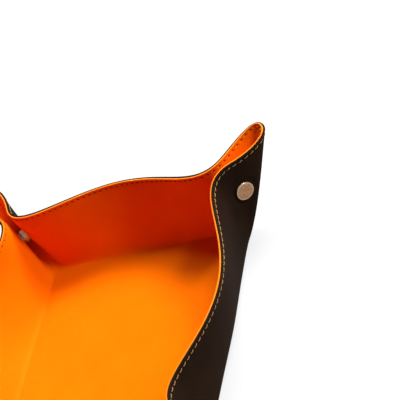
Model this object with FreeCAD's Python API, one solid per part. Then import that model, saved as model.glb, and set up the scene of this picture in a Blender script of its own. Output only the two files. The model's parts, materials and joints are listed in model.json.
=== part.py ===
import FreeCAD
import Part
import math
import os

Vec = FreeCAD.Vector
UP = Vec(0, 0, 1)
EAST = Vec(1, 0, 0)
NORTH = Vec(0, 1, 0)
DIAGONAL = Vec(math.sqrt(0.5), math.sqrt(0.5), 0)
ACROSS = Vec(-math.sqrt(0.5), math.sqrt(0.5), 0)
CORNERS = ("ne", "nw", "sw", "se")

# Two leathers, glued back to back
outer_thickness = 1.2
lining_thickness = 1.0
glue_line = 0.15

# Floor
floor_half = 77.0
corner_radius = 10.0

# Wall, at its middle: rise and flare of the rim, slope there, and how far the floor's and the rim's directions carry
wall_rise = 48.9
wall_flare = 22.2
wall_slope = 70.0
wall_floor_carry = 7.6
wall_rim_carry = 19.8
wall_rim_bow = 42.4

# Neck, where a wall turns into the pinched corner
neck_rise = 54.2
neck_reach = 26.1
neck_slope = 84.7
neck_floor_carry = 10.5
neck_floor_heading = 43.0
neck_rim_carry = 18.0
neck_rim_gap = 10.4
neck_rim_heading = 61.0
neck_rim_dip = 0.08
neck_low_heading = 13.5
neck_high_heading = 53.0
neck_wall_to_ear = 1.75

# Ear, the folded corner of the sheet: rise and reach of its tip, and the width of its round fold going up
ear_rise = 56.0
ear_reach = 53.6
ear_slope = 51.7
ear_floor_carry = 11.5
ear_rim_carry = 18.1
ear_low_side = 6.2
ear_high_side = 10.0
ear_rim_side = 17.6
ear_low_fold = 3.5
ear_high_fold = 7.2
ear_rim_fold = 9.8

# Press stud, in the ear: how far in from the ear's tip its middle lies, along the diagonal and down
snap_tip_inset = 35.0
snap_tip_drop = 25.6
seat_clearance = 0.05
seat_margin = 0.4
plate = 0.6
cap_diameter = 12.5
cap_height = 2.0
cap_round = 1.1
barrel_diameter = 4.2
barrel_bore = 3.2
barrel_clearance = 0.2
barrel_roll_diameter = 5.4
barrel_roll = 0.45
socket_diameter = 11.0
socket_height = 3.6
socket_round = 0.8
closing_gap = 0.4
stud_flange_diameter = 9.4
stud_flange = 0.75
stud_neck_diameter = 3.9
stud_ball_diameter = 4.6
stud_ball_clearance = 0.35
stud_tip_gap = 0.35
stud_bore = 2.9
spring_wire = 0.8
spring_clearance = 0.1
spring_opening = 40.0
post_diameter = 9.6
post_height = 0.9
post_round = 0.5
post_barrel_diameter = 2.6
post_clearance = 0.3

# Seam below the rim
stitch_inset = 2.4
stitch_pitch = 4.4
stitch_length = 3.2
stitch_slant = 12.0
thread_diameter = 0.6
thread_clearance = 0.04

# Sampling of the sheet's surface and of the seam's length
wall_columns = 14
ear_columns = 14
rise_rows = 14
seam_samples = 400
newton_steps = 20
same_length = 1e-6

stack = socket_height + closing_gap + stud_flange
half_gap = stack / 2 + lining_thickness + glue_line
snap_reach = ear_reach - snap_tip_inset
snap_rise = ear_rise - snap_tip_drop
floor_corner = floor_half * math.sqrt(2) - corner_radius * (math.sqrt(2) - 1)
arc_handle = corner_radius * 4 / 3 * math.tan(math.pi / 16)


def heading(degrees, climb=0.0):
    angle = math.radians(degrees)
    return Vec(math.cos(angle), math.sin(angle), climb)


def slant(outward, degrees):
    angle = math.radians(degrees)
    return outward * math.cos(angle) + UP * math.sin(angle)


def row(middle, bow, neck, side, tip, fold):
    # Seven poles of two cubics: middle of the wall to the neck, and the neck to the tip of the ear
    return [
        middle,
        middle + EAST * bow,
        neck - side * neck_wall_to_ear,
        neck,
        neck + side,
        tip + ACROSS * fold,
        tip,
    ]


def sheet_rows(pinch):
    # Four rows of poles for one eighth of the sheet, from the floor's edge to the rim; pinch is the neck's half width
    # in the third row
    straight = floor_half - corner_radius
    middle = NORTH * floor_half
    neck = Vec(straight, floor_half, 0)
    tip = DIAGONAL * floor_corner
    floor_row = row(middle, straight / 3, neck, EAST * arc_handle, tip, arc_handle)
    low_row = row(
        middle + NORTH * wall_floor_carry,
        straight / 3,
        neck + heading(neck_floor_heading) * neck_floor_carry,
        heading(neck_low_heading) * ear_low_side,
        tip + DIAGONAL * ear_floor_carry,
        ear_low_fold,
    )
    rim_middle = NORTH * (floor_half + wall_flare) + UP * wall_rise
    rim_neck = DIAGONAL * (neck.dot(DIAGONAL) + neck_reach) + ACROSS * (neck_rim_gap / 2) + UP * neck_rise
    rim_tip = DIAGONAL * (floor_corner + ear_reach) + UP * ear_rise
    high_neck = rim_neck - slant(DIAGONAL, neck_slope) * neck_rim_carry
    high_row = row(
        rim_middle - slant(NORTH, wall_slope) * wall_rim_carry,
        wall_rim_bow,
        high_neck + ACROSS * (pinch - high_neck.dot(ACROSS)),
        heading(neck_high_heading) * ear_high_side,
        rim_tip - slant(DIAGONAL, ear_slope) * ear_rim_carry,
        ear_high_fold,
    )
    rim_side = heading(neck_rim_heading, -neck_rim_dip) * ear_rim_side
    rim_row = row(rim_middle, wall_rim_bow, rim_neck, rim_side, rim_tip, ear_rim_fold)
    return [floor_row, low_row, high_row, rim_row]


def shares(t):
    s = 1 - t
    return s ** 3, 3 * t * s * s, 3 * t * t * s, t ** 3


def slopes(t):
    s = 1 - t
    return -3 * s * s, 3 * s * s - 6 * t * s, 6 * t * s - 3 * t * t, 3 * t * t


def mix(points, factors):
    total = Vec()
    for point, factor in zip(points, factors):
        total += point * factor
    return total


def patch(rows, along, along_factors, rise_factors):
    first = 0 if along <= 1 else 3
    factors = along_factors(along if along <= 1 else along - 1)
    return mix([mix(poles[first:first + 4], factors) for poles in rows], rise_factors)


def find_on_ear(rows, reach, rise):
    # Where the ear's surface stands at this reach along the diagonal and this rise, by Newton's steps
    along, up = 1.2, 0.6
    for _ in range(newton_steps):
        point = patch(rows, along, shares, shares(up))
        by_along = patch(rows, along, slopes, shares(up))
        by_up = patch(rows, along, shares, slopes(up))
        miss = Vec(reach - point.dot(DIAGONAL), rise - point.z, 0)
        a, b = by_along.dot(DIAGONAL), by_up.dot(DIAGONAL)
        c, d = by_along.z, by_up.z
        determinant = a * d - b * c
        along += (d * miss.x - b * miss.y) / determinant
        up += (a * miss.y - c * miss.x) / determinant
        along = min(max(along, 1.001), 1.999)
        up = min(max(up, 0.05), 0.95)
    return along, up


def pinched_rows():
    # The neck's half width that brings both sides of the ear against the closed press stud
    loose = sheet_rows(0.0)
    tight = sheet_rows(1.0)
    along, up = find_on_ear(loose, floor_corner + snap_reach, snap_rise)
    at_loose = patch(loose, along, shares, shares(up)).dot(ACROSS)
    at_tight = patch(tight, along, shares, shares(up)).dot(ACROSS)
    return sheet_rows((half_gap - at_loose) / (at_tight - at_loose))


ROWS = pinched_rows()


def swapped(point):
    return Vec(point.y, point.x, point.z)


def turned(point, quarter):
    for _ in range(quarter):
        point = Vec(-point.y, point.x, point.z)
    return point


def sheet_point(along, up, offset):
    # A point of one corner's quarter: along runs 0 to 4 from mid wall round the ear to mid wall, up 0 to 1 from the
    # floor to the rim, offset is square to the glued faces and outwards
    folded = along > 2
    here = 4 - along if folded else along
    point = patch(ROWS, here, shares, shares(up))
    normal = patch(ROWS, here, shares, slopes(up)).cross(patch(ROWS, here, slopes, shares(up)))
    point = point + normal.normalize() * offset + UP * outer_thickness
    return swapped(point) if folded else point


def quarter_columns():
    wall = [i / wall_columns for i in range(wall_columns)]
    ear = [1 + i / ear_columns for i in range(ear_columns)]
    half = wall + ear
    return half + [2] + [4 - along for along in reversed(half)]


def face_of_layer(offset, quarter):
    grid = []
    for i in range(rise_rows + 1):
        up = i / rise_rows
        grid.append([turned(sheet_point(along, up, offset), quarter) for along in quarter_columns()])
    surface = Part.BSplineSurface()
    surface.interpolate(grid)
    return surface


def end_curve(surface, at_rim):
    first, last, _, _ = surface.bounds()
    return surface.uIso(last if at_rim else first).toShape()


def leather(inner_offset, outer_offset):
    inner = [face_of_layer(inner_offset, quarter) for quarter in range(4)]
    outer = [face_of_layer(outer_offset, quarter) for quarter in range(4)]
    faces = [surface.toShape() for surface in inner + outer]
    for layer in (inner, outer):
        faces.append(Part.Face(Part.Wire([end_curve(surface, False) for surface in layer])))
    for inside, outside in zip(inner, outer):
        faces.append(Part.makeRuledSurface(end_curve(inside, True), end_curve(outside, True)))
    shell = Part.makeShell(faces)
    shell.sewShape()
    solid = Part.makeSolid(shell)
    if solid.Volume < 0:
        solid.reverse()
    return solid


def revolved(points):
    # A closed profile of (radius, height) points turned about the press stud's axis
    corners = [Vec(radius, 0, height) for radius, height in points]
    wire = Part.makePolygon(corners + corners[:1])
    return Part.Face(wire).revolve(Vec(), UP, 360)


def rounded(solid, radius, rim_radius, height):
    # Rounds the circular edge of this radius at this height
    edges = []
    for edge in solid.Edges:
        circle = edge.Curve
        if isinstance(circle, Part.Circle) and abs(circle.Radius - rim_radius) < same_length:
            if abs(circle.Center.z - height) < same_length:
                edges.append(edge)
    return solid.makeFillet(radius, edges)


# Heights in the press stud's own frame: 0 is midway between the two linings, up is out through the cap
lining_face = stack / 2
outer_face = half_gap + outer_thickness
socket_front = lining_face - socket_height


def cap():
    under = outer_face + seat_clearance
    top = under + cap_height
    roll_top = lining_face - seat_clearance - plate - seat_clearance
    roll_end = roll_top - barrel_roll
    body = revolved([
        (0, top),
        (cap_diameter / 2, top),
        (cap_diameter / 2, under),
        (barrel_diameter / 2, under),
        (barrel_diameter / 2, roll_top),
        (barrel_roll_diameter / 2, roll_top),
        (barrel_roll_diameter / 2, roll_end),
        (barrel_bore / 2, roll_end),
        (barrel_bore / 2, under),
        (0, under),
    ])
    return rounded(body, cap_round, cap_diameter / 2, top)


def socket():
    back = lining_face - seat_clearance
    outside = socket_diameter / 2
    hole = barrel_diameter / 2 + barrel_clearance
    mouth = stud_ball_diameter / 2 + stud_ball_clearance
    body = revolved([
        (hole, back),
        (outside, back),
        (outside, socket_front),
        (mouth, socket_front),
        (mouth, socket_front + plate),
        (outside - plate, socket_front + plate),
        (outside - plate, back - plate),
        (hole, back - plate),
    ])
    return rounded(body, min(socket_round, plate * 0.9), outside, socket_front)


def spring():
    ring = (stud_neck_diameter + spring_wire) / 2 + spring_clearance
    height = socket_front + plate + spring_clearance + spring_wire / 2
    section = Part.makeCircle(spring_wire / 2, Vec(ring, 0, height), NORTH)
    bent = Part.Face(Part.Wire(section)).revolve(Vec(), UP, 360 - spring_opening)
    return bent


def stud():
    seat = -lining_face + seat_clearance
    shoulder = seat + stud_flange - seat_clearance
    tip = lining_face - 2 * seat_clearance - plate - barrel_roll - stud_tip_gap
    neck_end = socket_front + plate + 2 * spring_clearance + spring_wire
    ball = stud_ball_diameter / 2
    bulge = (neck_end + tip) / 2
    return revolved([
        (0, tip),
        (stud_neck_diameter / 2 - plate / 2, tip),
        (ball, bulge),
        (stud_neck_diameter / 2, neck_end),
        (stud_neck_diameter / 2, shoulder),
        (stud_flange_diameter / 2, shoulder),
        (stud_flange_diameter / 2, seat),
        (stud_bore / 2, seat),
        (stud_bore / 2, bulge),
        (0, bulge),
    ])


def post():
    under = -outer_face - seat_clearance
    head = under - post_height
    neck_end = socket_front + plate + 2 * spring_clearance
    body = revolved([
        (0, head),
        (post_diameter / 2, head),
        (post_diameter / 2, under),
        (post_barrel_diameter / 2, under),
        (post_barrel_diameter / 2, neck_end),
        (0, neck_end),
    ])
    return rounded(body, post_round, post_diameter / 2, head)


def snap_place(quarter):
    # The press stud's axis runs square to the diagonal, with the cap on the clockwise side of the ear
    centre = DIAGONAL * (floor_corner + snap_reach) + UP * (snap_rise + outer_thickness)
    place = FreeCAD.Placement(centre, FreeCAD.Rotation(UP, ACROSS * -1))
    turn = FreeCAD.Placement(Vec(), FreeCAD.Rotation(UP, 90 * quarter))
    return turn.multiply(place)


def disc(diameter, start, end):
    return Part.makeCylinder(diameter / 2, end - start, UP * start)


def placed(shape, quarter):
    copy = shape.copy()
    copy.Placement = snap_place(quarter)
    return copy


def cut_for_snaps(solid):
    # Holes for the two barrels, and flat seats where the leather is pressed by the cap, socket, stud and post
    depth = cap_height + stack
    tools = [
        disc(barrel_diameter + 2 * barrel_clearance, 0, outer_face + depth),
        disc(post_barrel_diameter + 2 * post_clearance, -outer_face - depth, 0),
        disc(cap_diameter + 2 * seat_margin, outer_face, outer_face + depth),
        disc(socket_diameter + 2 * seat_margin, 0, lining_face),
        disc(stud_flange_diameter + 2 * seat_margin, -lining_face, 0),
        disc(post_diameter + 2 * seat_margin, -outer_face - depth, -outer_face),
    ]
    return solid.cut([placed(tool, quarter) for tool in tools for quarter in range(4)])


def seam_up(along):
    # How far up the sheet the seam lies, a set distance in from the rim
    here = 4 - along if along > 2 else along
    return 1 - stitch_inset / patch(ROWS, here, shares, slopes(1.0)).Length


def seam_stations():
    # Stations along one quarter, evenly spaced by length, half a pitch clear of the middle of each wall
    alongs = [4 * i / seam_samples for i in range(seam_samples + 1)]
    points = [sheet_point(along, seam_up(along), 0) for along in alongs]
    lengths = [0.0]
    for before, after in zip(points, points[1:]):
        lengths.append(lengths[-1] + before.distanceToPoint(after))
    stitches = round(lengths[-1] / stitch_pitch)
    stations = []
    index = 0
    for i in range(stitches):
        wanted = (i + 0.5) * lengths[-1] / stitches
        while lengths[index + 1] < wanted:
            index += 1
        share = (wanted - lengths[index]) / (lengths[index + 1] - lengths[index])
        stations.append(alongs[index] + share * (alongs[index + 1] - alongs[index]))
    return stations


def stitch(along, face_offset, outward):
    # One straight stitch, laid on the sheet's face and leaning a little across the seam
    reach = 0.02
    up = seam_up(along)
    centre = sheet_point(along, up, face_offset)
    normal = (sheet_point(along, up, face_offset + outward) - centre).normalize()
    run = sheet_point(along + reach, seam_up(along + reach), face_offset) - sheet_point(
        along - reach, seam_up(along - reach), face_offset)
    sweep = stitch_length / 2 / run.Length * 2 * reach
    ends = [sheet_point(along + side * sweep, seam_up(along + side * sweep), face_offset) for side in (-1, 1)]
    hollow = max(0.0, ((ends[0] + ends[1]) * 0.5 - centre).dot(normal))
    lift = thread_diameter / 2 + thread_clearance + hollow * 1.3
    direction = FreeCAD.Rotation(normal, stitch_slant).multVec(ends[1] - ends[0]).normalize()
    start = centre + normal * lift - direction * (stitch_length / 2)
    return Part.makeCylinder(thread_diameter / 2, stitch_length, start, direction)


def seam(face_offset, outward):
    first = [stitch(along, face_offset, outward) for along in seam_stations()]
    solids = []
    for quarter in range(4):
        turn = FreeCAD.Placement(Vec(), FreeCAD.Rotation(UP, 90 * quarter))
        for one in first:
            copy = one.copy()
            copy.Placement = turn.multiply(one.Placement)
            solids.append(copy)
    return Part.makeCompound(solids)


def write(name, shape):
    shape.exportStep("parts/" + name + ".step")
    print(name, "valid" if shape.isValid() else "NOT VALID", len(shape.Solids), round(shape.Volume, 2))


os.makedirs("parts", exist_ok=True)
lining_inside = -glue_line - lining_thickness
write("outer_leather", cut_for_snaps(leather(0.0, outer_thickness)))
write("lining_leather", cut_for_snaps(leather(lining_inside, -glue_line)))
write("outer_stitching", seam(outer_thickness, 1))
write("lining_stitching", seam(lining_inside, -1))
for number, corner in enumerate(CORNERS):
    for name, make in (("cap", cap), ("socket", socket), ("spring", spring), ("stud", stud), ("post", post)):
        write(corner + "_" + name, placed(make(), number))
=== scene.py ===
import json
import math

import bmesh
import bpy
import numpy as np
from mathutils import Matrix, Vector


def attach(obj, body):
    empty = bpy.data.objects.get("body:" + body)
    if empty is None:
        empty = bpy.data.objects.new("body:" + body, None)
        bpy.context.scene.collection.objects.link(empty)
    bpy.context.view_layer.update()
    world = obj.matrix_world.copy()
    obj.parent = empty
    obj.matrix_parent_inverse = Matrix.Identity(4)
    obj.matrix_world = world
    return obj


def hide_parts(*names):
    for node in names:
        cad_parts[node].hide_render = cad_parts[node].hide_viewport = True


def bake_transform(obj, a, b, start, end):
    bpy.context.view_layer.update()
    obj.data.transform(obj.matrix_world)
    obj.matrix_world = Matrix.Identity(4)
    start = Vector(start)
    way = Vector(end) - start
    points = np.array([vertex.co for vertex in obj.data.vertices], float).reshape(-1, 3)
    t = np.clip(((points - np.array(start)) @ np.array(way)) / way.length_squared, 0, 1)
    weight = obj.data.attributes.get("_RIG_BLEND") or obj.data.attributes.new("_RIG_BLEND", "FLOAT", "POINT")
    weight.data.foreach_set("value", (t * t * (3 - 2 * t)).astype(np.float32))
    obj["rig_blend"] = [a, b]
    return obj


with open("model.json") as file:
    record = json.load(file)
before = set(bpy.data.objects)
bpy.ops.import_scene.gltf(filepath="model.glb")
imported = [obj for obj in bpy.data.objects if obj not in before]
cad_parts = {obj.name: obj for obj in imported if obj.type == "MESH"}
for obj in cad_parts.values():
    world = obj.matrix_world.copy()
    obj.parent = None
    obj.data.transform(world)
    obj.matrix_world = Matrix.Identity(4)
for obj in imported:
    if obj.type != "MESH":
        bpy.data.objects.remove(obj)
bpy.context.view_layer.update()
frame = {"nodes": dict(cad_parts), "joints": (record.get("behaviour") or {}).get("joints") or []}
print("frame loaded,", len(frame["nodes"]), "nodes")

mm = 0.001
upward = np.array([0.0, 0.0, 1.0])
eastward = np.array([1.0, 0.0, 0.0])
northward = np.array([0.0, 1.0, 0.0])
diagonal = np.array([math.sqrt(0.5), math.sqrt(0.5), 0.0])
across = np.array([-math.sqrt(0.5), math.sqrt(0.5), 0.0])
corners = ("ne", "nw", "sw", "se")
sides = ("stud", "cap")
diagonalMirror = [1, 0, 2]

# The folded sheet with the construction's own sizes: millimetres and degrees, and for neckRimDip and
# neckWallToEar a ratio
fold = {
    "outerThickness": 1.2,
    "liningThickness": 1.0,
    "glueLine": 0.15,
    "seamInset": 2.4,
    "floorHalf": 77.0,
    "cornerRadius": 10.0,
    "wallRise": 48.9,
    "wallFlare": 22.2,
    "wallSlope": 70.0,
    "wallFloorCarry": 7.6,
    "wallRimCarry": 19.8,
    "wallRimBow": 42.4,
    "neckRise": 54.2,
    "neckReach": 26.1,
    "neckSlope": 84.7,
    "neckFloorCarry": 10.5,
    "neckFloorHeading": 43.0,
    "neckRimCarry": 18.0,
    "neckRimGap": 10.4,
    "neckRimHeading": 61.0,
    "neckRimDip": 0.08,
    "neckLowHeading": 13.5,
    "neckHighHeading": 53.0,
    "neckWallToEar": 1.75,
    "earRise": 56.0,
    "earReach": 53.6,
    "earSlope": 51.7,
    "earFloorCarry": 11.5,
    "earRimCarry": 18.1,
    "earLowSide": 6.2,
    "earHighSide": 10.0,
    "earRimSide": 17.6,
    "earLowFold": 3.5,
    "earHighFold": 7.2,
    "earRimFold": 9.8,
    "snapTipInset": 35.0,
    "snapTipDrop": 25.6,
    "snapHalfGap": 3.525,
}
floorCorner = fold["floorHalf"] * math.sqrt(2) - fold["cornerRadius"] * (math.sqrt(2) - 1)
arcHandle = fold["cornerRadius"] * 4 / 3 * math.tan(math.pi / 16)
snapReach = floorCorner + fold["earReach"] - fold["snapTipInset"]
snapRise = fold["earRise"] - fold["snapTipDrop"]
snapMiddle = diagonal * snapReach + upward * (snapRise + fold["outerThickness"])


def heading(degrees, climb=0.0):
    angle = math.radians(degrees)
    return np.array([math.cos(angle), math.sin(angle), climb])


def slant(outward, degrees):
    angle = math.radians(degrees)
    return outward * math.cos(angle) + upward * math.sin(angle)


def row(middle, bow, neck, side, tip, foldWidth):
    return np.array([
        middle,
        middle + eastward * bow,
        neck - side * fold["neckWallToEar"],
        neck,
        neck + side,
        tip + across * foldWidth,
        tip,
    ])


def sheetRows(pinch):
    straight = fold["floorHalf"] - fold["cornerRadius"]
    middle = northward * fold["floorHalf"]
    neck = np.array([straight, fold["floorHalf"], 0.0])
    tip = diagonal * floorCorner
    floorRow = row(middle, straight / 3, neck, eastward * arcHandle, tip, arcHandle)
    lowRow = row(
        middle + northward * fold["wallFloorCarry"],
        straight / 3,
        neck + heading(fold["neckFloorHeading"]) * fold["neckFloorCarry"],
        heading(fold["neckLowHeading"]) * fold["earLowSide"],
        tip + diagonal * fold["earFloorCarry"],
        fold["earLowFold"],
    )
    rimMiddle = northward * (fold["floorHalf"] + fold["wallFlare"]) + upward * fold["wallRise"]
    rimNeck = diagonal * (neck @ diagonal + fold["neckReach"]) + across * (fold["neckRimGap"] / 2)
    rimNeck = rimNeck + upward * fold["neckRise"]
    rimTip = diagonal * (floorCorner + fold["earReach"]) + upward * fold["earRise"]
    highNeck = rimNeck - slant(diagonal, fold["neckSlope"]) * fold["neckRimCarry"]
    highRow = row(
        rimMiddle - slant(northward, fold["wallSlope"]) * fold["wallRimCarry"],
        fold["wallRimBow"],
        highNeck + across * (pinch - highNeck @ across),
        heading(fold["neckHighHeading"]) * fold["earHighSide"],
        rimTip - slant(diagonal, fold["earSlope"]) * fold["earRimCarry"],
        fold["earHighFold"],
    )
    rimSide = heading(fold["neckRimHeading"], -fold["neckRimDip"]) * fold["earRimSide"]
    rimRow = row(rimMiddle, fold["wallRimBow"], rimNeck, rimSide, rimTip, fold["earRimFold"])
    return np.array([floorRow, lowRow, highRow, rimRow])


def shares(t):
    s = 1 - t
    return np.stack([s ** 3, 3 * t * s * s, 3 * t * t * s, t ** 3], -1)


def slopes(t):
    s = 1 - t
    return np.stack([-3 * s * s, 3 * s * s - 6 * t * s, 6 * t * s - 3 * t * t, 3 * t * t], -1)


def patch(rows, along, rise, alongFactors=shares, riseFactors=shares):
    inEar = along > 1
    a = alongFactors(np.where(inEar, along - 1, along))
    b = riseFactors(rise)
    wallPart = np.einsum("...u,uac,...a->...c", b, rows[:, :4], a)
    earPart = np.einsum("...u,uac,...a->...c", b, rows[:, 3:], a)
    return np.where(inEar[..., None], earPart, wallPart)


# The search for the press stud's place on the ear, in shares along and up the sheet
earSearch = {
    "start": (1.2, 0.6),
    "along": (1.001, 1.999),
    "rise": (0.05, 0.95),
    "steps": 20,
}


def findOnEar(rows, reach, rise):
    along, up = (np.array(value) for value in earSearch["start"])
    for step in range(earSearch["steps"]):
        point = patch(rows, along, up)
        byAlong = patch(rows, along, up, alongFactors=slopes)
        byUp = patch(rows, along, up, riseFactors=slopes)
        table = np.array([[byAlong @ diagonal, byUp @ diagonal], [byAlong[2], byUp[2]]])
        move = np.linalg.solve(table, np.array([reach - point @ diagonal, rise - point[2]]))
        along = np.clip(along + move[0], *earSearch["along"])
        up = np.clip(up + move[1], *earSearch["rise"])
    return along, up


def pinchedRows():
    # the neck's half width that brings both sides of the ear against the closed press stud
    loose, tight = sheetRows(0.0), sheetRows(1.0)
    along, up = findOnEar(loose, snapReach, snapRise)
    atLoose = patch(loose, along, up) @ across
    atTight = patch(tight, along, up) @ across
    return sheetRows((fold["snapHalfGap"] - atLoose) / (atTight - atLoose))


sheetPoles = pinchedRows()


def sheetSurface(along, rise):
    # points and outward normals of the glued face, for along 0 to 2 from mid wall to the tip of the ear
    point = patch(sheetPoles, along, rise) + upward * fold["outerThickness"]
    normal = np.cross(
        patch(sheetPoles, along, rise, riseFactors=slopes),
        patch(sheetPoles, along, rise, alongFactors=slopes),
    )
    return point, normal / np.linalg.norm(normal, axis=-1, keepdims=True)


def smoothstep(t):
    t = np.clip(t, 0, 1)
    return t * t * (3 - 2 * t)


def runLengths(points):
    return np.concatenate([[0], np.cumsum(np.linalg.norm(np.diff(points, axis=0), axis=1))])


# How the leather is laid out in rows and columns: counts, and lengths in millimetres
leatherGrid = {
    "wallColumns": 44,
    "earColumns": 56,
    "rimRows": (0.75, 1.0, 1.3, 1.6, 1.85, 2.1, 2.4, 2.7, 2.95, 3.2, 3.6, 4.2, 5.0, 6.0, 7.5),
    "wallRows": 32,
    "roundSteps": 5,
    "reachSamples": 161,
    "gluedEdge": 0.06,
    "grooveWidth": 0.75,
    "seatFade": 4.0,
    "cutTolerance": 0.0001,
}
# show and back are the places of a leather's two faces across the sheet, outward is the way its shown
# face looks, and trim is how far its cut edge lies below the rim
layers = {
    "outerLeather": {
        "node": "outer_leather",
        "show": fold["outerThickness"],
        "back": 0.0,
        "outward": 1,
        "trim": 0.0,
        "round": 0.5,
        "groove": 0.16,
        "seat": 6.6,
    },
    "liningLeather": {
        "node": "lining_leather",
        "show": -fold["glueLine"] - fold["liningThickness"],
        "back": -fold["glueLine"],
        "outward": -1,
        "trim": 0.25,
        "round": 0.45,
        "groove": 0.2,
        "seat": 5.6,
    },
}


def sheetColumns():
    # places along the sheet, from mid wall at 0 by the neck at 1 to the fold at 2
    wall = np.linspace(0, 1, leatherGrid["wallColumns"], endpoint=False)
    ear = np.linspace(1, 2, leatherGrid["earColumns"] + 1)
    return np.concatenate([wall, ear])


def leatherRows(layer):
    # rows run from the floor's edge up the shown face, round the cut edge and down the glued face, each
    # with a distance from the rim, or a share of the wall below those, and a place across the sheet
    wallShares = np.linspace(1, 0, leatherGrid["wallRows"] + 1)[:-1]
    rows = [(0.0, share, layer["show"]) for share in wallShares]
    rows += [(distance, 0.0, layer["show"]) for distance in reversed(leatherGrid["rimRows"])]
    for step in range(leatherGrid["roundSteps"] + 1):
        angle = math.pi / 2 * step / leatherGrid["roundSteps"]
        inward = layer["trim"] + layer["round"] * (1 - math.sin(angle))
        sunk = layer["outward"] * layer["round"] * (1 - math.cos(angle))
        rows.append((inward, 0.0, layer["show"] - sunk))
    rows.append((layer["trim"], 0.0, layer["back"] + layer["outward"] * leatherGrid["gluedEdge"]))
    rows.append((layer["trim"] + leatherGrid["gluedEdge"], 0.0, layer["back"]))
    rows += [(distance, 0.0, layer["back"]) for distance in leatherGrid["rimRows"]]
    rows += [(0.0, share, layer["back"]) for share in reversed(wallShares)]
    return np.array(rows)


def rowReach(along, rows):
    # how far up the sheet a column meets each row, and how far from the rim that is
    fine = np.linspace(1, 0, leatherGrid["reachSamples"])
    lengths = runLengths(patch(sheetPoles, np.full_like(fine, along), fine))
    lastRim = leatherGrid["rimRows"][-1]
    reach = np.where(rows[:, 1] > 0, lastRim + rows[:, 1] * (lengths[-1] - lastRim), rows[:, 0])
    return np.interp(reach, lengths, fine), reach


def leatherGridPoints(layer):
    # points by row and column in metres, and their distances from the cut edge in millimetres
    rows = leatherRows(layer)
    shown = np.isclose(rows[:, 2], layer["show"])
    points, rim = [], []
    for along in sheetColumns():
        rises, reach = rowReach(along, rows)
        groove = np.exp(-((reach - fold["seamInset"]) / leatherGrid["grooveWidth"]) ** 2)
        offset = rows[:, 2] - np.where(shown, layer["outward"] * layer["groove"] * groove, 0)
        point, normal = sheetSurface(np.full_like(rises, along), rises)
        points.append(pressedFlat(point + normal * offset[:, None], rows[:, 2], layer))
        rim.append(reach - layer["trim"])
    return np.stack(points, 1) * mm, np.stack(rim, 1)


def pressedFlat(points, offsets, layer):
    # the press stud holds both sides of the ear flat and parallel round its middle
    height = points @ across
    radius = np.linalg.norm(points - snapMiddle - np.outer(height, across), axis=1)
    press = 1 - smoothstep((radius - layer["seat"]) / leatherGrid["seatFade"])
    return points + np.outer(press * (fold["snapHalfGap"] + offsets - height), across)


def gridNormals(points):
    # outward normals by row and column, mirrored at mid wall and at the fold, and upright at the floor
    byRow = np.gradient(points, axis=0)
    byColumn = np.gradient(points, axis=1)
    normals = np.cross(byRow, byColumn)
    normals[:, 0, 0] = 0
    normals[:, -1] -= np.outer(normals[:, -1] @ across, across)
    normals[0, :, :2] = 0
    normals[-1, :, :2] = 0
    return normals / np.linalg.norm(normals, axis=-1, keepdims=True)


# How half an ear bends when its press stud opens: it turns with its own body between the wall's bend
# and the fold's crest; lengths in millimetres, and the climb and the tilt as ratios
earBend = {
    "wallStart": 112.0,
    "wallEnd": 129.0,
    "wallClimb": 0.4,
    "crestStart": 2.5,
    "crestEnd": 6.0,
    "crestTilt": 0.02,
    "crestPivot": 25.0,
}
hinge = next(joint for joint in frame["joints"] if joint["name"] == "ne_cap_side_open")
hingePoint = np.array(hinge["pos_m"], float)
hingeAxis = np.array(hinge["axis"], float)
hingeAxis = hingeAxis / np.linalg.norm(hingeAxis)
crestInward = np.cross(hingeAxis, across)
crestInward = crestInward * (-1 if crestInward @ diagonal > 0 else 1)
wallAway = diagonal + upward * earBend["wallClimb"]
crestAway = crestInward + hingeAxis * earBend["crestTilt"]
crestPivot = hingePoint + hingeAxis * earBend["crestPivot"] * mm


def bendEnds(part):
    # the points between which a part's leather passes from the sheet to the side that opens
    if part == "wall":
        step = wallAway / (wallAway @ wallAway) * mm
        return step * earBend["wallStart"], step * earBend["wallEnd"]
    step = crestAway / (crestAway @ crestAway) * mm
    return crestPivot + step * earBend["crestStart"], crestPivot + step * earBend["crestEnd"]


def bendPlane():
    # where both bends agree, as a point and a normal that faces the fold
    wallStart, wallEnd = bendEnds("wall")
    crestStart, crestEnd = bendEnds("crest")
    wallSlope = (wallEnd - wallStart) / np.sum((wallEnd - wallStart) ** 2)
    crestSlope = (crestEnd - crestStart) / np.sum((crestEnd - crestStart) ** 2)
    normal = wallSlope - crestSlope
    level = wallSlope @ wallStart - crestSlope @ crestStart
    return normal * level / (normal @ normal), normal / np.linalg.norm(normal)


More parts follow.
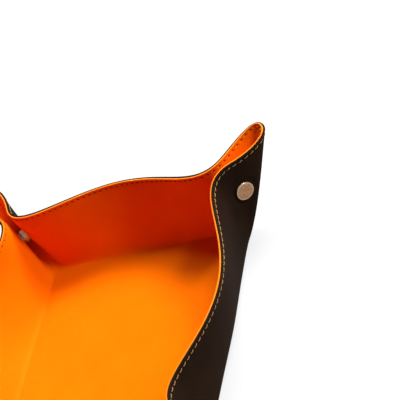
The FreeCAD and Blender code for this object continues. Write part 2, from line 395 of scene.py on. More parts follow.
def halfMesh(layer):
    # one closed half of a corner, from mid wall to the fold
    points, rim = leatherGridPoints(layer)
    normals = gridNormals(points) * layer["outward"]
    mesh = bmesh.new()
    normalLayer = mesh.verts.layers.float_vector.new("smoothNormal")
    rimLayer = mesh.verts.layers.float.new("rimDistance")
    capLayer = mesh.faces.layers.int.new("isCap")
    rowCount, columnCount = points.shape[:2]
    grid = []
    for i in range(rowCount):
        line = []
        for j in range(columnCount):
            vert = mesh.verts.new(points[i, j])
            vert[normalLayer] = normals[i, j]
            vert[rimLayer] = rim[i, j]
            line.append(vert)
        grid.append(line)

    def face(verts, isCap):
        made = mesh.faces.new(verts)
        made[capLayer] = int(isCap)

    for i in range(rowCount - 1):
        for j in range(columnCount - 1):
            face([grid[i][j], grid[i + 1][j], grid[i + 1][j + 1], grid[i][j + 1]], False)
    for j in range(columnCount - 1):
        face([grid[-1][j], grid[0][j], grid[0][j + 1], grid[-1][j + 1]], True)
    last = leatherGrid["wallRows"] + len(leatherGrid["rimRows"]) - 1
    for column, flip in ((0, False), (columnCount - 1, True)):
        ladder = [[grid[k][column], grid[-1 - k][column]] for k in range(last + 1)]
        for before, after in zip(ladder, ladder[1:]):
            quad = [before[0], before[1], after[1], after[0]]
            face(quad[::-1] if flip else quad, True)
        tip = [grid[k][column] for k in range(last, rowCount - last)]
        face(tip if flip else tip[::-1], True)
    if layer["outward"] < 0:
        bmesh.ops.reverse_faces(mesh, faces=mesh.faces[:])
    return mesh


def cutHalf(mesh, part):
    # keeps the wall's part or the fold's part, and closes the cut
    kept = mesh.copy()
    capLayer = kept.faces.layers.int["isCap"]
    point, normal = bendPlane()
    geometry = kept.verts[:] + kept.edges[:] + kept.faces[:]
    bmesh.ops.bisect_plane(
        kept, geom=geometry, dist=leatherGrid["cutTolerance"] * mm, plane_co=point, plane_no=normal,
        clear_outer=part == "wall", clear_inner=part == "crest",
    )
    rims = [edge for edge in kept.edges if edge.is_boundary]
    for filled in bmesh.ops.holes_fill(kept, edges=rims, sides=0)["faces"]:
        filled[capLayer] = 1
    return kept


def meshArrays(mesh):
    mesh.verts.index_update()
    normalLayer = mesh.verts.layers.float_vector["smoothNormal"]
    rimLayer = mesh.verts.layers.float["rimDistance"]
    capLayer = mesh.faces.layers.int["isCap"]
    return {
        "verts": np.array([vert.co for vert in mesh.verts]),
        "normals": np.array([vert[normalLayer] for vert in mesh.verts]),
        "rim": np.array([vert[rimLayer] for vert in mesh.verts]),
        "faces": [[vert.index for vert in face.verts] for face in mesh.faces],
        "caps": np.array([face[capLayer] for face in mesh.faces]),
    }


def cornerTurn(number, side):
    # from the stud side of the first corner to any other half
    turn = np.array(Matrix.Rotation(math.radians(90 * number), 3, "Z"))
    return turn @ np.eye(3)[diagonalMirror] if side == "cap" else turn


def addObject(name, data):
    made = bpy.data.objects.new(name, data)
    bpy.context.scene.collection.objects.link(made)
    return made


def leatherObject(name, arrays, turn, material):
    mirrored = np.linalg.det(turn) < 0
    faces = [face[::-1] for face in arrays["faces"]] if mirrored else arrays["faces"]
    mesh = bpy.data.meshes.new(name)
    mesh.from_pydata(arrays["verts"] @ turn.T, [], faces)
    mesh.polygons.foreach_set("use_smooth", np.ones(len(faces), bool))
    loopVerts = np.empty(len(mesh.loops), int)
    mesh.loops.foreach_get("vertex_index", loopVerts)
    faceNormals = np.empty(len(faces) * 3)
    mesh.polygons.foreach_get("normal", faceNormals)
    owner = np.repeat(np.arange(len(faces)), [len(face) for face in faces])
    smooth = arrays["normals"] @ turn.T
    smooth = smooth / np.linalg.norm(smooth, axis=1, keepdims=True)
    flat = faceNormals.reshape(-1, 3)[owner]
    loops = np.where(arrays["caps"][owner][:, None] > 0, flat, smooth[loopVerts])
    mesh.normals_split_custom_set(loops.tolist())
    mesh.attributes.new("rimDistance", "FLOAT", "POINT").data.foreach_set("value", arrays["rim"])
    mesh.materials.append(material)
    return addObject(name, mesh)


# Nodes, for materials and for the stitching

def fillInputs(tree, node, values):
    # links the sockets and sets the plain values
    for key, value in values.items():
        if isinstance(value, bpy.types.NodeSocket):
            tree.links.new(value, node.inputs[key])
        else:
            node.inputs[key].default_value = value


def addNode(tree, kind, inputs=None, **settings):
    node = tree.nodes.new(kind)
    for key, value in settings.items():
        setattr(node, key, value)
    fillInputs(tree, node, inputs or {})
    return node


def newTree(name, kind, inputs, outputs):
    # a node group with named inputs and outputs
    tree = bpy.data.node_groups.new(name, kind)
    for inOut, sockets in (("OUTPUT", outputs), ("INPUT", inputs)):
        for socket, socketKind in sockets.items():
            tree.interface.new_socket(socket, in_out=inOut, socket_type="NodeSocket" + socketKind)
    return tree, tree.nodes.new("NodeGroupInput").outputs, tree.nodes.new("NodeGroupOutput").inputs


def maths(tree, operation, *values):
    return addNode(tree, "ShaderNodeMath", dict(enumerate(values)), operation=operation).outputs[0]


def mapped(tree, value, source, target, easing="LINEAR"):
    # carries a value from one range to another
    ranges = {"From Min": source[0], "From Max": source[1], "To Min": target[0], "To Max": target[1]}
    node = addNode(tree, "ShaderNodeMapRange", {"Value": value, **ranges}, interpolation_type=easing)
    return node.outputs["Result"]


def objectPlace(tree):
    return addNode(tree, "ShaderNodeTexCoord").outputs["Object"]


def noise(tree, place, scale, detail):
    return addNode(tree, "ShaderNodeTexNoise", {"Vector": place, "Scale": scale, "Detail": detail})


def mixColour(tree, factor, low, high):
    inputs = {"Factor": factor}
    for key, value in (("A", low), ("B", high)):
        inputs[key] = value if isinstance(value, bpy.types.NodeSocket) else (*value, 1.0)
    return addNode(tree, "ShaderNodeMix", inputs, data_type="RGBA").outputs["Result"]


def bumped(tree, height, strength, depth):
    inputs = {"Height": height, "Strength": strength, "Distance": depth * mm}
    return addNode(tree, "ShaderNodeBump", inputs).outputs["Normal"]


def newMaterial(name):
    material = bpy.data.materials.new(name)
    material.use_nodes = True
    return material, material.node_tree, material.node_tree.nodes["Principled BSDF"]


# The span that a noise's values mostly keep to
noiseSpan = (0.3, 0.7)

# Leather materials, with scales by the millimetre

grainForm = {
    "wanderScale": 0.6,
    "wanderDetail": 2.0,
    "wanderReach": 0.8,
    "creaseWidth": 0.22,
    "fineScale": 4.0,
    "fineDetail": 3.0,
    "fineShare": 0.35,
    "mottleDetail": 4.0,
    "mottleRoughness": 0.55,
}


def grainGroup():
    # leather pores and creases, and a slow mottle, on object coordinates
    inputs = {"Pore Size": "Float", "Mottle Size": "Float", "Crease Strength": "Float"}
    outputs = {"Height": "Float", "Mottle": "Float"}
    tree, given, result = newTree("leatherGrain", "ShaderNodeTree", inputs, outputs)
    inputs = {0: objectPlace(tree), "Scale": 1 / mm}
    place = addNode(tree, "ShaderNodeVectorMath", inputs, operation="SCALE").outputs[0]
    wander = noise(tree, place, grainForm["wanderScale"], grainForm["wanderDetail"])
    bent = addNode(tree, "ShaderNodeVectorMath", {
        0: wander.outputs["Color"],
        1: (grainForm["wanderReach"],) * 3,
        2: place,
    }, operation="MULTIPLY_ADD")
    cells = addNode(tree, "ShaderNodeTexVoronoi", {
        "Vector": bent.outputs[0],
        "Scale": maths(tree, "DIVIDE", 1.0, given["Pore Size"]),
    }, feature="DISTANCE_TO_EDGE")
    creases = mapped(tree, cells.outputs["Distance"], (0.0, grainForm["creaseWidth"]), (0.0, 1.0))
    weighted = maths(tree, "MULTIPLY", creases, given["Crease Strength"])
    fine = noise(tree, place, grainForm["fineScale"], grainForm["fineDetail"])
    height = maths(tree, "MULTIPLY_ADD", fine.outputs["Fac"], grainForm["fineShare"], weighted)
    mottleScale = maths(tree, "DIVIDE", 1.0, given["Mottle Size"])
    mottle = noise(tree, place, mottleScale, grainForm["mottleDetail"])
    mottle.inputs["Roughness"].default_value = grainForm["mottleRoughness"]
    tree.links.new(height, result["Height"])
    tree.links.new(mottle.outputs["Fac"], result["Mottle"])
    return tree


def edgeGroup():
    # 1 on the cut edge at the rim, fading to 0 a little way in
    tree, given, result = newTree("cutEdge", "ShaderNodeTree", {"Reach": "Float"}, {"Edge": "Float"})
    rim = addNode(tree, "ShaderNodeAttribute", attribute_name="rimDistance").outputs["Fac"]
    tree.links.new(mapped(tree, rim, (0.0, given["Reach"]), (1.0, 0.0), "SMOOTHSTEP"), result["Edge"])
    return tree


leatherFinish = {
    "outerLeather": {
        "dark": (0.0120, 0.0058, 0.0032),
        "light": (0.0190, 0.0096, 0.0058),
        "edge": (0.015, 0.008, 0.005),
        "edgeReach": 0.7,
        "roughness": (0.58, 0.70),
        "specular": 0.008,
        "tint": (1.0, 0.64, 0.48),
        "poreSize": 0.9,
        "mottleSize": 30.0,
        "creases": 0.6,
        "bump": 0.14,
        "bumpDepth": 0.1,
    },
    "liningLeather": {
        "dark": (0.83, 0.148, 0.0008),
        "light": (0.87, 0.164, 0.0010),
        # the lining's paler edge colour is partly the cut edge's raw fibre and partly a painted highlight on the
        # rounded rim
        "edge": (0.90, 0.22, 0.015),
        "edgeReach": 0.42,
        "roughness": (0.5, 0.6),
        "specular": 0.03,
        "tint": (1.0, 0.5, 0.15),
        "poreSize": 0.7,
        "mottleSize": 30.0,
        "creases": 0.35,
        "bump": 0.08,
        "bumpDepth": 0.1,
    },
}


def leatherMaterial(name, finish, grain, cutEdge):
    material, tree, shader = newMaterial(name)
    grained = addNode(tree, "ShaderNodeGroup", node_tree=grain)
    fillInputs(tree, grained, {
        "Pore Size": finish["poreSize"],
        "Mottle Size": finish["mottleSize"],
        "Crease Strength": finish["creases"],
    })
    # the cut edge's colour, mixed in at the rim; on the lining it is partly a painted highlight
    edged = addNode(tree, "ShaderNodeGroup", {"Reach": finish["edgeReach"]}, node_tree=cutEdge)
    mottle = grained.outputs["Mottle"]
    hide = mixColour(tree, mapped(tree, mottle, noiseSpan, (0.0, 1.0)), finish["dark"], finish["light"])
    fillInputs(tree, shader, {
        "Base Color": mixColour(tree, edged.outputs["Edge"], hide, finish["edge"]),
        "Roughness": mapped(tree, mottle, noiseSpan, finish["roughness"]),
        "Specular IOR Level": finish["specular"],
        "Specular Tint": (*finish["tint"], 1.0),
        "Normal": bumped(tree, grained.outputs["Height"], finish["bump"], finish["bumpDepth"]),
    })
    return material


threadForm = {
    "fibreScale": 1.6,
    "fibreDetail": 2.0,
    "bump": 0.3,
    "bumpDepth": 0.08,
    "specular": 0.08,
}
threadFinish = {
    "outerThread": {"dark": (0.30, 0.155, 0.048), "light": (0.55, 0.32, 0.12), "roughness": 0.6},
    "liningThread": {"dark": (0.78, 0.135, 0.0008), "light": (0.88, 0.165, 0.0010), "roughness": 0.6},
    # the needle holes' dark colours are painted shade inside the holes
    "outerHole": {"dark": (0.004, 0.003, 0.002), "light": (0.008, 0.005, 0.003), "roughness": 0.9},
    "liningHole": {"dark": (0.24, 0.007, 0.0003), "light": (0.33, 0.013, 0.0004), "roughness": 0.9},
}


def threadMaterial(name, finish):
    # thread, or the inside of a needle hole painted dark as its shade, mottled by its fibres
    material, tree, shader = newMaterial(name)
    scale = threadForm["fibreScale"] / mm
    fibres = noise(tree, objectPlace(tree), scale, threadForm["fibreDetail"]).outputs["Fac"]
    tone = mapped(tree, fibres, noiseSpan, (0.0, 1.0))
    fillInputs(tree, shader, {
        "Base Color": mixColour(tree, tone, finish["dark"], finish["light"]),
        "Roughness": finish["roughness"],
        "Specular IOR Level": threadForm["specular"],
        "Normal": bumped(tree, fibres, threadForm["bump"], threadForm["bumpDepth"]),
    })
    return material


metalForm = {
    "cloudScale": 0.55,
    "cloudDetail": 4.0,
    "rimToneShare": (0.78, 0.92),
}
metalFinish = {
    "pressStudMetal": {
        "dark": (0.26, 0.130, 0.062),
        "light": (0.40, 0.225, 0.125),
        "rimTone": (0.42, 0.30, 0.225),
        "roughness": (0.28, 0.40),
    },
    "springWire": {
        "dark": (0.42, 0.42, 0.42),
        "light": (0.52, 0.52, 0.51),
        "rimTone": (0.55, 0.55, 0.54),
        "roughness": (0.25, 0.35),
    },
}


def metalMaterial(name, finish):
    # plated metal, clouded by handling and paler round a turned piece's edge
    material, tree, shader = newMaterial(name)
    scale = metalForm["cloudScale"] / mm
    cloud = noise(tree, objectPlace(tree), scale, metalForm["cloudDetail"]).outputs["Fac"]
    turned = addNode(tree, "ShaderNodeAttribute", attribute_name="turnedRadius").outputs["Fac"]
    edge = mapped(tree, turned, metalForm["rimToneShare"], (0.0, 1.0), "SMOOTHSTEP")
    plate = mixColour(tree, mapped(tree, cloud, noiseSpan, (0.0, 1.0)), finish["dark"], finish["light"])
    fillInputs(tree, shader, {
        "Base Color": mixColour(tree, edge, plate, finish["rimTone"]),
        "Roughness": mapped(tree, cloud, noiseSpan, finish["roughness"]),
        "Metallic": 1.0,
    })
    return material


grain = grainGroup()
cutEdge = edgeGroup()
leatherMaterials = {}
for name, finish in leatherFinish.items():
    leatherMaterials[name] = leatherMaterial(name, finish, grain, cutEdge)
threadMaterials = {name: threadMaterial(name, finish) for name, finish in threadFinish.items()}
metalMaterials = {name: metalMaterial(name, finish) for name, finish in metalFinish.items()}
print("materials made")

# Leather walls and ears, in two parts a half so that each bends across one joint

for layerName, layer in layers.items():
    half = halfMesh(layer)
    for part in ("wall", "crest"):
        arrays = meshArrays(cutHalf(half, part))
        start, end = bendEnds(part)
        for number, corner in enumerate(corners):
            for side in sides:
                turn = cornerTurn(number, side)
                name = layerName + corner.title() + side.title() + part.title()
                piece = leatherObject(name, arrays, turn, leatherMaterials[layerName])
                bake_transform(piece, "sheet", f"{corner}_{side}_side", tuple(turn @ start), tuple(turn @ end))
                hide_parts(layer["node"])
        print(layerName, part, len(arrays["faces"]), "faces a piece")
    half.free()

# Leather floor, in rings from the walls' foot to the middle

floorForm = {
    "rings": 26,
    "swell": 0.22,
    "waveX": 21.0,
    "waveY": 29.0,
    "phaseX": 0.6,
    "phaseY": -0.4,
    "footPower": 4,
}


def floorRing():
    # the floor's outline, clockwise from the middle of the north wall
    along = sheetColumns()
    half = patch(sheetPoles, along, np.zeros_like(along))
    quarter = np.concatenate([half, half[-2:0:-1, diagonalMirror]])
    turns = [cornerTurn(number, "stud") for number in (0, 3, 2, 1)]
    return np.concatenate([quarter @ turn.T for turn in turns])


def floorFace(ring, height, swell):
    # rings of points and upward normals, from the walls' foot to one point in the middle, with a slow
    # swell that dies away at the foot
    points, normals = [], []
    for step in range(floorForm["rings"] + 1):
        share = 1 - step / floorForm["rings"]
        flat = ring * share if share else np.zeros((1, 3))
        lift = swell * (1 - share ** floorForm["footPower"]) ** 2
        turnX = flat[:, 0] / floorForm["waveX"] + floorForm["phaseX"]
        turnY = flat[:, 1] / floorForm["waveY"] + floorForm["phaseY"]
        slopeX = lift * np.cos(turnX) * np.cos(turnY) / floorForm["waveX"]
        slopeY = lift * np.sin(turnX) * -np.sin(turnY) / floorForm["waveY"]
        wave = lift * np.sin(turnX) * np.cos(turnY)
        points.append(np.stack([flat[:, 0], flat[:, 1], height + wave], 1))
        normals.append(np.stack([-slopeX, -slopeY, np.ones(len(flat))], 1))
    return np.concatenate(points), np.concatenate(normals)


def floorArrays(layer):
    # a closed slab: its top, its underside and a strip round its foot
    ring = floorRing()
    count, rings = len(ring), floorForm["rings"]
    shown = fold["outerThickness"] - layer["show"]
    back = fold["outerThickness"] - layer["back"]
    swell = floorForm["swell"] if shown > back else 0.0
    topPoints, topNormals = floorFace(ring, max(shown, back), swell)
    lowPoints, lowNormals = floorFace(ring, min(shown, back), 0.0)
    lowStart = len(topPoints)
    faces = []
    for base in (0, lowStart):
        for step in range(rings):
            for k in range(count):
                here = base + step * count + k
                beside = base + step * count + (k + 1) % count
                made = [here, beside, beside + count, here + count]
                if step == rings - 1:
                    made = [here, beside, base + rings * count]
                faces.append(made if base else made[::-1])
    for k in range(count):
        beside = (k + 1) % count
        faces.append([k, beside, lowStart + beside, lowStart + k])
    verts = np.concatenate([topPoints, lowPoints])
    return {
        "verts": verts * mm,
        "normals": np.concatenate([topNormals, -lowNormals]),
        "rim": np.full(len(verts), fold["wallRise"]),
        "faces": faces,
        "caps": np.arange(len(faces)) >= len(faces) - count,
    }


for layerName, layer in layers.items():
    arrays = floorArrays(layer)
    floorPiece = leatherObject(layerName + "Floor", arrays, np.eye(3), leatherMaterials[layerName])
    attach(floorPiece, "sheet")
    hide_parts(layer["node"])
print("leather floor laid")

# Stitching, a set distance below the rim on both faces

seamForm = {
    "pitch": 4.4,
    "slant": 12.0,
    "samples": 400,
    "step": 0.02,
    "curveSteps": 8,
    "threadSides": 8,
    "holeSides": 10,
    "spreadMin": (0.93, 0.94, 0.92),
    "spreadMax": (1.04, 1.04, 1.06),
    "seed": 7,
}
# a stitch's own sizes in millimetres, by the names of the node group's inputs
stitchSizes = {
    "Length": 3.2,
    "Thread": 0.4,
    "Rise": 0.2,
    "Dip": 0.3,
    "Hole Length": 1.9,
    "Hole Width": 0.75,
    "Hole Sink": 0.05,
    "Hole Depth": 0.3,
}
seams = {
    "outerStitch": {
        "layer": "outerLeather",
        "node": "outer_stitching",
        "slot": "outer_thread",
        "thread": "outerThread",
        "hole": "outerHole",
    },
    "liningStitch": {
        "layer": "liningLeather",
        "node": "lining_stitching",
        "slot": "lining_thread",
        "thread": "liningThread",
        "hole": "liningHole",
    },
}


def quarterPoint(along, offset):
    # the seam's line round one corner, along 0 to 4 from mid wall to mid wall
    folded = along > 2
    here = np.where(folded, 4 - along, along)
    climb = patch(sheetPoles, here, np.ones_like(here), riseFactors=slopes)
    point, normal = sheetSurface(here, 1 - fold["seamInset"] / np.linalg.norm(climb, axis=-1))
    point = point + normal * offset
    return tuple(np.where(folded[..., None], of[..., diagonalMirror], of) for of in (point, normal))


def seamStations():
    # the middles of a corner's stitches, and the needle holes between them
    along = np.linspace(0, 4, seamForm["samples"] + 1)
    lengths = runLengths(quarterPoint(along, 0.0)[0])
    count = round(lengths[-1] / seamForm["pitch"])
    pitches = np.arange(count) * lengths[-1] / count
    return np.interp(pitches + lengths[-1] / count / 2, lengths, along), np.interp(pitches, lengths, along)


def stitchTree():
    # a thread stitch that rises from the leather, or a needle hole as a dark plug of painted shade, laid at each
    # point of a seam
    inputs = {"Geometry": "Geometry"}
    inputs.update({name: "Float" for name in stitchSizes})
    inputs.update({"Seed": "Int", "Thread Material": "Material", "Hole Shade Material": "Material"})
    tree, given, result = newTree("laidStitches", "GeometryNodeTree", inputs, {"Geometry": "Geometry"})

    def times(name, factor):
        return maths(tree, "MULTIPLY", given[name], factor)

    def vector(x, y, z):
        return addNode(tree, "ShaderNodeCombineXYZ", {"X": x, "Y": y, "Z": z}).outputs[0]

    def attribute(name, kind):
        node = addNode(tree, "GeometryNodeInputNamedAttribute", {"Name": name}, data_type=kind)
        return node.outputs["Attribute"]

    sunk = times("Dip", -1.0)
    path = addNode(tree, "GeometryNodeCurveQuadraticBezier", {
        "Resolution": seamForm["curveSteps"],
        "Start": vector(times("Length", -0.5), 0.0, sunk),
        "Middle": vector(0.0, 0.0, maths(tree, "ADD", times("Rise", 2.0), given["Dip"])),
        "End": vector(times("Length", 0.5), 0.0, sunk),
    })
    section = addNode(tree, "GeometryNodeCurvePrimitiveCircle", {
        "Resolution": seamForm["threadSides"],
        "Radius": times("Thread", 0.5),
    })
    tube = addNode(tree, "GeometryNodeCurveToMesh", {
        "Curve": path.outputs["Curve"],
        "Profile Curve": section.outputs["Curve"],
        "Fill Caps": True,
    })
    rounded = addNode(tree, "GeometryNodeSetShadeSmooth", {"Geometry": tube.outputs["Mesh"]})
    # the hole's plug, its top just under the leather, carries the painted shade of the hole
    plug = addNode(tree, "GeometryNodeMeshCylinder", {
        "Vertices": seamForm["holeSides"],
        "Radius": times("Hole Width", 0.5),
        "Depth": given["Hole Depth"],
    }, fill_type="NGON")
    low = maths(tree, "ADD", given["Hole Sink"], times("Hole Depth", 0.5))
    slit = addNode(tree, "GeometryNodeTransform", {
        "Geometry": plug.outputs["Mesh"],
        "Translation": vector(0.0, 0.0, maths(tree, "MULTIPLY", low, -1.0)),
        "Scale": vector(maths(tree, "DIVIDE", given["Hole Length"], given["Hole Width"]), 1.0, 1.0),
    })
    facing = addNode(tree, "FunctionNodeAxesToRotation", {
        "Primary Axis": attribute("stitchRun", "FLOAT_VECTOR"),
        "Secondary Axis": attribute("stitchFace", "FLOAT_VECTOR"),
    }, primary_axis="X", secondary_axis="Z")
    spread = addNode(tree, "FunctionNodeRandomValue", {
        "Min": seamForm["spreadMin"],
        "Max": seamForm["spreadMax"],
        "Seed": given["Seed"],
    }, data_type="FLOAT_VECTOR")
    isHole = attribute("isHole", "BOOLEAN")
    isStitch = addNode(tree, "FunctionNodeBooleanMath", {0: isHole}, operation="NOT").outputs[0]
    joined = addNode(tree, "GeometryNodeJoinGeometry")
    for shape, chosen, material in (
        (rounded, isStitch, "Thread Material"),
        (slit, isHole, "Hole Shade Material"),
    ):
        laid = addNode(tree, "GeometryNodeInstanceOnPoints", {
            "Points": given["Geometry"],
            "Selection": chosen,
            "Instance": shape.outputs["Geometry"],
            "Rotation": facing.outputs["Rotation"],
            "Scale": spread.outputs["Value"],
        })
        real = addNode(tree, "GeometryNodeRealizeInstances", {"Geometry": laid.outputs["Instances"]})
        painted = addNode(tree, "GeometryNodeSetMaterial", {
            "Geometry": real.outputs["Geometry"],
            "Material": given[material],
        })
        tree.links.new(painted.outputs["Geometry"], joined.inputs["Geometry"])
    tree.links.new(joined.outputs["Geometry"], result["Geometry"])
    return tree


def stitchObject(name, tree, places, runs, faces, isHole, seam):
    points = bpy.data.meshes.new(name + "Points")
    points.from_pydata(places * mm, [], [])
    for key, values in (("stitchRun", runs), ("stitchFace", faces)):
        points.attributes.new(key, "FLOAT_VECTOR", "POINT").data.foreach_set("vector", values.ravel())
    points.attributes.new("isHole", "BOOLEAN", "POINT").data.foreach_set("value", isHole)
    carrier = addObject(name + "Carrier", points)
    modifier = carrier.modifiers.new("laidStitches", "NODES")
    modifier.node_group = tree
    values = {key: size * mm for key, size in stitchSizes.items()}
    values["Seed"] = seamForm["seed"]
    values["Thread Material"] = threadMaterials[seam["thread"]]
    values["Hole Shade Material"] = threadMaterials[seam["hole"]]
    for item in tree.interface.items_tree:
        if item.in_out == "INPUT" and item.name in values:
            modifier[item.identifier] = values[item.name]
    ready = carrier.evaluated_get(bpy.context.evaluated_depsgraph_get())
    mesh = bpy.data.meshes.new_from_object(ready)
    mesh.name = name
    bpy.data.objects.remove(carrier)
    return addObject(name, mesh)


def seamFrames(stations, layer, lean):
    # the places, the directions turned a little across the seam, and the outward faces
    step = seamForm["step"]
    places, normals = quarterPoint(stations, layer["show"])
    faces = normals * layer["outward"]
    runs = quarterPoint(stations + step, layer["show"])[0] - quarterPoint(stations - step, layer["show"])[0]
    runs = runs - np.sum(runs * faces, axis=1, keepdims=True) * faces
    runs = runs / np.linalg.norm(runs, axis=1, keepdims=True)
    return places, runs * math.cos(lean) + np.cross(faces, runs) * math.sin(lean), faces


stitches = stitchTree()
stitchStations, holeStations = seamStations()
stations = np.concatenate([stitchStations, holeStations])
isHole = np.arange(len(stations)) >= len(stitchStations)
stitchLean = math.radians(seamForm["slant"])
# a hole runs from one stitch's end to the next one's start
holeLean = -math.atan2(
    stitchSizes["Length"] * math.sin(stitchLean),
    seamForm["pitch"] - stitchSizes["Length"] * math.cos(stitchLean),
)
planePoint, planeNormal = bendPlane()
for seamName, seam in seams.items():
    layer = layers[seam["layer"]]
    ofStitches = seamFrames(stitchStations, layer, stitchLean)
    ofHoles = seamFrames(holeStations, layer, holeLean)
    places, runs, faces = (np.concatenate(pair) for pair in zip(ofStitches, ofHoles))
    onCrest = (places * mm - planePoint) @ planeNormal > 0
    onCap = stations > 2
    for part in ("wall", "crest"):
        start, end = bendEnds(part)
        for number, corner in enumerate(corners):
            turn = cornerTurn(number, "stud")
            for side in sides:
                chosen = (onCrest == (part == "crest")) & (onCap == (side == "cap"))
                name = seamName + corner.title() + side.title() + part.title()
                turned = (values[chosen] @ turn.T for values in (places, runs, faces))
                piece = stitchObject(name, stitches, *turned, isHole[chosen], seam)
                whole = cornerTurn(number, side)
                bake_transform(piece, "sheet", f"{corner}_{side}_side", tuple(whole @ start), tuple(whole @ end))
                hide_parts(seam["node"])
print("stitching laid,", len(stitchStations) * len(corners), "stitches a face")

# Press studs: domed caps and posts over the construction's sockets, springs and studs

studForm = {
    "segments": 72,
    "sharpAngle": 40.0,
    "seat": 0.05,
    "underEdge": 0.25,
    "edgeSteps": 6,
    "domeSteps": 8,
    "capRadius": 6.25,
    "capHeight": 2.0,
    "capEdge": 0.75,
    "capDome": 0.45,
    "postRadius": 4.8,
    "postHeight": 0.9,
    "postEdge": 0.4,
    "postDome": 0.15,
}


def lathe(profile, place, name, material):
    # a closed profile of (radius, height) pairs, both ends on the axis, turned about the press stud's axis
    count = studForm["segments"]
    verts, faces, rings = [], [], []
    for radius, height in profile:
        if radius == 0:
            rings.append([len(verts)])
            verts.append((0, 0, height))
        else:
            rings.append(list(range(len(verts), len(verts) + count)))
            for k in range(count):
                angle = 2 * math.pi * k / count
                verts.append((radius * math.cos(angle), radius * math.sin(angle), height))
    for low, high in zip(rings, rings[1:]):
        for k in range(count):
            after = (k + 1) % count
            if len(low) == 1:
                faces.append([low[0], high[k], high[after]])
            elif len(high) == 1:
                faces.append([low[k], high[0], low[after]])
            else:
                faces.append([low[k], high[k], high[after], low[after]])
    mesh = bpy.data.meshes.new(name)
    mesh.from_pydata([place @ (Vector(vert) * mm) for vert in verts], [], faces)
    widest = max(radius for radius, _ in profile)
    shareOut = [math.hypot(vert[0], vert[1]) / widest for vert in verts]
    mesh.attributes.new("turnedRadius", "FLOAT", "POINT").data.foreach_set("value", shareOut)
    turned = bmesh.new()
    turned.from_mesh(mesh)
    bmesh.ops.recalc_face_normals(turned, faces=turned.faces[:])
    turned.to_mesh(mesh)
    turned.free()
    mesh.shade_smooth()
    mesh.set_sharp_from_angle(angle=math.radians(studForm["sharpAngle"]))
    mesh.materials.append(material)
    return addObject(name, mesh)


def domed(kind):
    # a flat underside, a rounded edge and a low dome, rising from 0
    radius, height, edge, dome = (studForm[kind + size] for size in ("Radius", "Height", "Edge", "Dome"))
    under = studForm["underEdge"]
    rise = height - dome
    profile = [(0, 0), (radius - under, 0), (radius, under)]
    for k in range(studForm["edgeSteps"] + 1):
        angle = math.pi / 2 * k / studForm["edgeSteps"]
        profile.append((radius - edge * (1 - math.cos(angle)), rise - edge * (1 - math.sin(angle))))
    for k in range(1, studForm["domeSteps"]):
        share = 1 - k / studForm["domeSteps"]
        profile.append(((radius - edge) * share, height - dome * share ** 2))
    profile.append((0, height))
    return profile


def studPlace(number):
    # up is out through the cap
    turn = Vector(-across).to_track_quat("Z", "Y").to_matrix().to_4x4()
    place = Matrix.Translation(Vector(snapMiddle * mm)) @ turn
    return Matrix.Rotation(math.radians(90 * number), 4, "Z") @ place


base = (fold["snapHalfGap"] + fold["outerThickness"] + studForm["seat"]) * mm
for number, corner in enumerate(corners):
    place = studPlace(number)
    capPlace = place @ Matrix.Translation((0, 0, base))
    postPlace = place @ Matrix.Rotation(math.pi, 4, "X") @ Matrix.Translation((0, 0, base))
    for kind, at, body in (("cap", capPlace, "cap_side"), ("post", postPlace, "stud_side")):
        piece = lathe(domed(kind), at, corner + kind.title(), metalMaterials["pressStudMetal"])
        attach(piece, f"{corner}_{body}")
        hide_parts(f"{corner}_{kind}")
    for kind, finish in (("socket", "pressStudMetal"), ("stud", "pressStudMetal"), ("spring", "springWire")):
        node = frame["nodes"][f"{corner}_{kind}"]
        node.data.materials.clear()
        node.data.materials.append(metalMaterials[finish])
print("press studs dressed")

# Stage and lamps in metres, and camera

stageForm = {
    "floorSize": 6.0,
    "floorColour": (0.72, 0.72, 0.71),
    "floorRoughness": 0.9,
    "floorSpecular": 0.1,
    "floorLift": 0.78,
    "fade": (0.35, 1.3),
    "fill": 0.02,
}
white = (1.0, 1.0, 1.0, 1.0)


def seenDirectly(tree):
    # 1 for what the camera sees, also in a reflection or through glass
    path = addNode(tree, "ShaderNodeLightPath")
    seen = path.outputs["Is Camera Ray"]
    for name in ("Is Glossy Ray", "Is Transmission Ray"):
        seen = maths(tree, "MAXIMUM", seen, path.outputs[name])
    return seen


def mixShader(tree, factor, low, high):
    return addNode(tree, "ShaderNodeMixShader", {"Fac": factor, 1: low, 2: high}).outputs["Shader"]


def stageFloor():
    # a plain floor that the camera sees as white, more so away from the tray
    half = stageForm["floorSize"] / 2
    mesh = bpy.data.meshes.new("stageFloor")
    outline = [(-half, -half, 0), (half, -half, 0), (half, half, 0), (-half, half, 0)]
    mesh.from_pydata(outline, [], [(0, 1, 2, 3)])
    material, tree, shader = newMaterial("stageFloor")
    fillInputs(tree, shader, {
        "Base Color": (*stageForm["floorColour"], 1.0),
        "Roughness": stageForm["floorRoughness"],
        "Specular IOR Level": stageForm["floorSpecular"],
    })
    glow = addNode(tree, "ShaderNodeEmission", {"Color": white})
    away = addNode(tree, "ShaderNodeVectorMath", {0: objectPlace(tree)}, operation="LENGTH").outputs["Value"]
    lift = mapped(tree, away, stageForm["fade"], (stageForm["floorLift"], 1.0), "SMOOTHSTEP")
    part = maths(tree, "MULTIPLY", seenDirectly(tree), lift)
    mixed = mixShader(tree, part, shader.outputs["BSDF"], glow.outputs["Emission"])
    tree.links.new(mixed, tree.nodes["Material Output"].inputs["Surface"])
    mesh.materials.append(material)
    made = addObject("stageFloor", mesh)


def whiteWorld():
    # a weak fill light that the camera sees as white
    world = bpy.data.worlds.new("softStudio")
    bpy.context.scene.world = world
    world.use_nodes = True
    tree = world.node_tree
    tree.nodes.clear()
    fill = addNode(tree, "ShaderNodeBackground", {"Strength": stageForm["fill"]})
    plain = addNode(tree, "ShaderNodeBackground", {"Color": white})
    mixed = mixShader(tree, seenDirectly(tree), fill.outputs["Background"], plain.outputs["Background"])
    addNode(tree, "ShaderNodeOutputWorld", {"Surface": mixed})


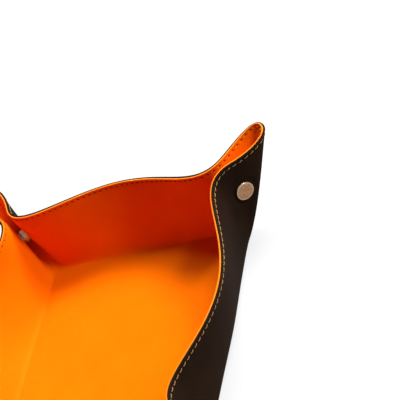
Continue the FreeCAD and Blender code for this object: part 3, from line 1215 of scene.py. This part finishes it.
# azimuth runs clockwise from north, seen from above; floorLamp is a narrow beam on the floor, a little
# south-west of its middle
lamps = {
    "backLamp": {
        "azimuth": 30.0,
        "elevation": 44.0,
        "distance": 1.3,
        "target": (0.0, 0.0, 0.0),
        "size": 0.4,
        "spread": 180.0,
        "power": 19.0,
    },
    "highLamp": {
        "azimuth": 10.0,
        "elevation": 54.0,
        "distance": 1.3,
        "target": (0.0, 0.0, 0.0),
        "size": 0.5,
        "spread": 180.0,
        "power": 9.0,
    },
    "sideLamp": {
        "azimuth": 73.0,
        "elevation": 39.0,
        "distance": 1.3,
        "target": (0.0, 0.0, 0.0),
        "size": 0.3,
        "spread": 180.0,
        "power": 10.5,
    },
    "floorLamp": {
        "azimuth": 42.0,
        "elevation": 43.0,
        "distance": 1.3,
        "target": (-0.05, -0.03, 0.0),
        "size": 0.1,
        "spread": 5.0,
        "power": 0.022,
    },
}


def addLamp(name, form):
    lamp = bpy.data.lights.new(name, "AREA")
    lamp.size = form["size"]
    lamp.spread = math.radians(form["spread"])
    lamp.energy = form["power"]
    made = addObject(name, lamp)
    azimuth, elevation = math.radians(form["azimuth"]), math.radians(form["elevation"])
    level = math.cos(elevation)
    toward = Vector((math.sin(azimuth) * level, math.cos(azimuth) * level, math.sin(elevation)))
    made.location = Vector(form["target"]) + toward * form["distance"]
    made.rotation_euler = toward.to_track_quat("Z", "Y").to_euler()


# The photograph's own view in millimetres and degrees: turned from south to east about the tray, raised,
# and rolled over its own axis
view = {
    "azimuth": 40.22,
    "elevation": 39.01,
    "roll": -40.8,
    "distance": 838.08,
    "target": (53.44, 89.36, 26.2),
    "lens": 117.14,
    "sensor": 36.0,
}


def addCamera():
    azimuth, elevation, roll = (math.radians(view[key]) for key in ("azimuth", "elevation", "roll"))
    back = Vector((
        math.sin(azimuth) * math.cos(elevation),
        -math.cos(azimuth) * math.cos(elevation),
        math.sin(elevation),
    ))
    right = Vector((math.cos(azimuth), math.sin(azimuth), 0))
    top = back.cross(right)
    x = right * math.cos(roll) + top * math.sin(roll)
    y = top * math.cos(roll) - right * math.sin(roll)
    data = bpy.data.cameras.new("photoCamera")
    data.sensor_width = view["sensor"]
    data.lens = view["lens"]
    camera = addObject("photoCamera", data)
    turn = Matrix((x, y, back)).transposed().to_4x4()
    place = (Vector(view["target"]) + back * view["distance"]) * mm
    camera.matrix_world = Matrix.Translation(place) @ turn
    bpy.context.scene.camera = camera


stageFloor()
whiteWorld()
for lampName, form in lamps.items():
    addLamp(lampName, form)
addCamera()
bpy.context.scene.view_settings.view_transform = "Standard"
print("stage, light and camera set")
